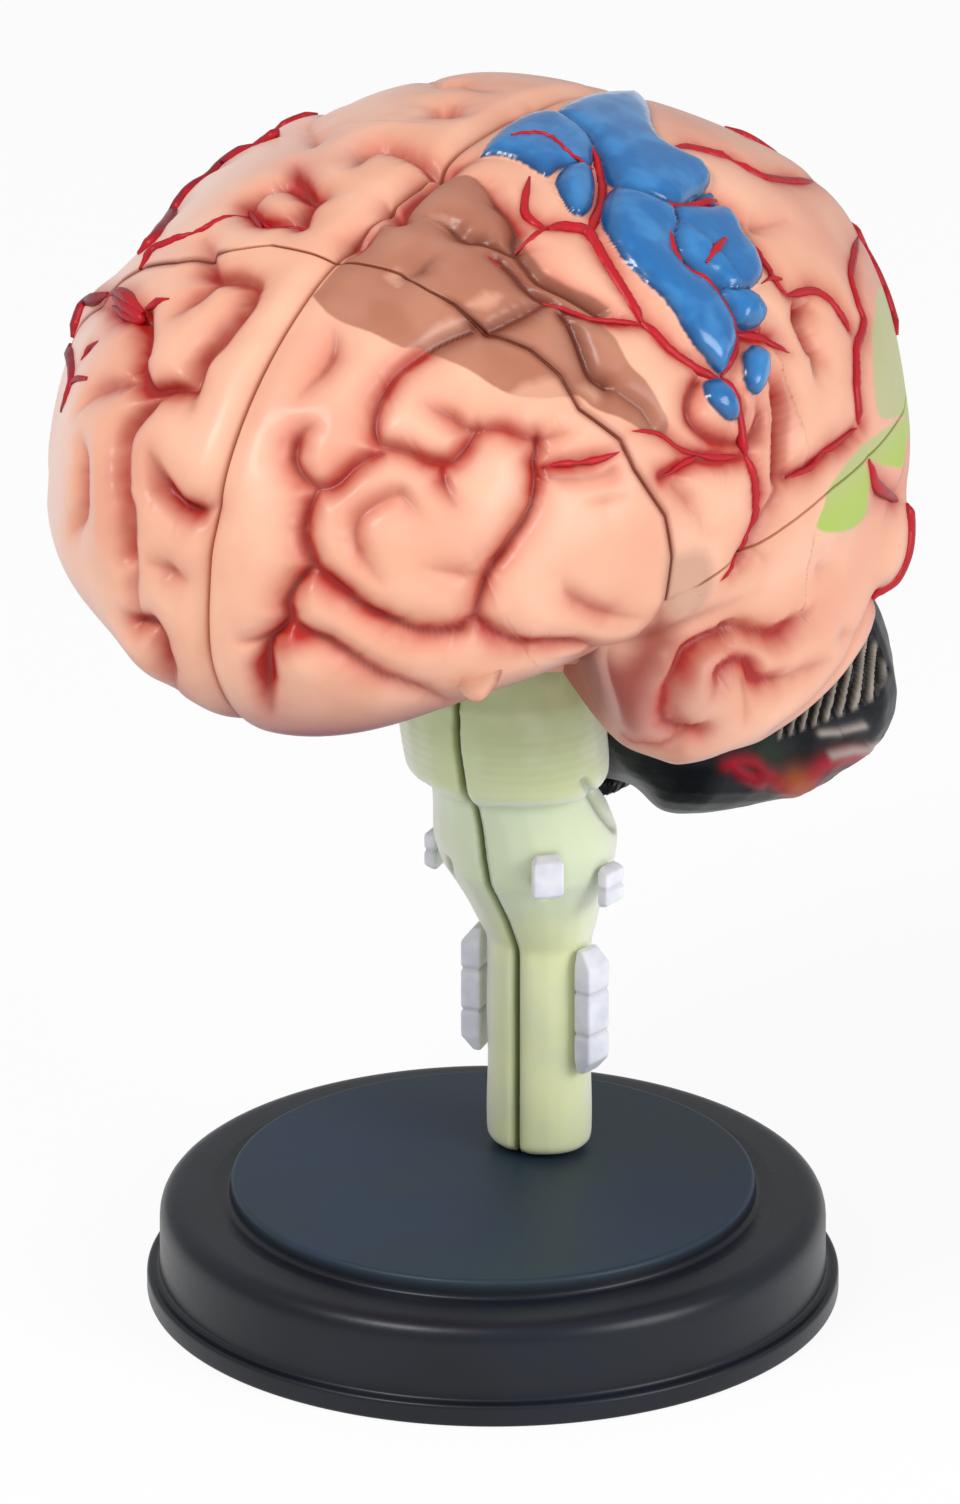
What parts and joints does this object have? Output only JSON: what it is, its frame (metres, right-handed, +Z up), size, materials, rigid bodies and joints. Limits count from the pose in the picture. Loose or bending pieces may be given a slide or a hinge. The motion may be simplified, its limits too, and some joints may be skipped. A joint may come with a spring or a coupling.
{
  "type": "anatomical brain model",
  "caption": "Take-apart model of a human brain: lobes, cerebellum and inner pieces plug onto a split brain stem that stands on a round base.",
  "frame": {"origin": "on the table, under the middle of the model's outer box", "axes": "+Z up; -Y is the brain's front; +X is the brain's own left side"},
  "size_m": [0.089, 0.1183, 0.1449],
  "materials": {
    "base": "satin dark blue moulded plastic",
    "stem": "pale yellow-green soft plastic, slightly translucent",
    "nerve": "milky white plastic",
    "cortex": "flesh pink plastic with red paint in the grooves and painted areas",
    "cerebellum": "glossy dark grey paint",
    "callosum": "cream plastic",
    "thalamus": "terracotta plastic",
    "ventricle": "light blue plastic",
    "caudate": "rose plastic",
    "hippocampus": "ochre plastic"
  },
  "bodies": {
    "stand": {"display_base": "base"},
    "right_half": {"brainstem_right": "stem", "corpus_callosum_right": "callosum", "thalamus_right": "thalamus", "lateral_ventricle_right": "ventricle", "caudate_nucleus_right": "caudate", "hippocampus_right": "hippocampus", "nerve_side_right": "nerve", "nerve_root_strip_right": "nerve"},
    "left_half": {"brainstem_left": "stem", "corpus_callosum_left": "callosum", "thalamus_left": "thalamus", "lateral_ventricle_left": "ventricle", "caudate_nucleus_left": "caudate", "hippocampus_left": "hippocampus", "nerve_side_left": "nerve", "nerve_root_strip_left": "nerve", "nerve_front_left": "nerve"},
    "frontal_lobe_left": {"frontal_lobe_left": "cortex"},
    "parietal_lobe_left": {"parietal_lobe_left": "cortex"},
    "temporal_lobe_left": {"temporal_lobe_left": "cortex"},
    "occipital_lobe_left": {"occipital_lobe_left": "cortex"},
    "cerebellum_left": {"cerebellum_left": "cerebellum"},
    "frontal_lobe_right": {"frontal_lobe_right": "cortex"},
    "parietal_lobe_right": {"parietal_lobe_right": "cortex"},
    "temporal_lobe_right": {"temporal_lobe_right": "cortex"},
    "occipital_lobe_right": {"occipital_lobe_right": "cortex"},
    "cerebellum_right": {"cerebellum_right": "cerebellum"}
  },
  "joints": [
    {"name": "brain_lift", "type": "slide", "parent": "stand", "child": "right_half", "axis": [0, 0, 1], "range_m": [0, 0.03]},
    {"name": "halves_part", "type": "slide", "parent": "right_half", "child": "left_half", "axis": [1, 0, 0], "range_m": [0, 0.05]},
    {"name": "frontal_lobe_left_off", "type": "slide", "parent": "left_half", "child": "frontal_lobe_left", "axis": [0.487, -0.8602, 0.1515], "range_m": [0, 0.04]},
    {"name": "parietal_lobe_left_off", "type": "slide", "parent": "left_half", "child": "parietal_lobe_left", "axis": [0.774, 0.1751, 0.6085], "range_m": [0, 0.04]},
    {"name": "temporal_lobe_left_off", "type": "slide", "parent": "left_half", "child": "temporal_lobe_left", "axis": [0.9856, -0.1329, -0.1046], "range_m": [0, 0.04]},
    {"name": "occipital_lobe_left_off", "type": "slide", "parent": "left_half", "child": "occipital_lobe_left", "axis": [0.4366, 0.8966, 0.0745], "range_m": [0, 0.04]},
    {"name": "cerebellum_left_off", "type": "slide", "parent": "left_half", "child": "cerebellum_left", "axis": [0.12, 0.8996, -0.4198], "range_m": [0, 0.04]},
    {"name": "frontal_lobe_right_off", "type": "slide", "parent": "right_half", "child": "frontal_lobe_right", "axis": [-0.487, -0.8602, 0.1515], "range_m": [0, 0.04]},
    {"name": "parietal_lobe_right_off", "type": "slide", "parent": "right_half", "child": "parietal_lobe_right", "axis": [-0.774, 0.1751, 0.6085], "range_m": [0, 0.04]},
    {"name": "temporal_lobe_right_off", "type": "slide", "parent": "right_half", "child": "temporal_lobe_right", "axis": [-0.9856, -0.1329, -0.1046], "range_m": [0, 0.04]},
    {"name": "occipital_lobe_right_off", "type": "slide", "parent": "right_half", "child": "occipital_lobe_right", "axis": [-0.4366, 0.8966, 0.0745], "range_m": [0, 0.04]},
    {"name": "cerebellum_right_off", "type": "slide", "parent": "right_half", "child": "cerebellum_right", "axis": [-0.12, 0.8996, -0.4198], "range_m": [0, 0.04]}
  ]
}
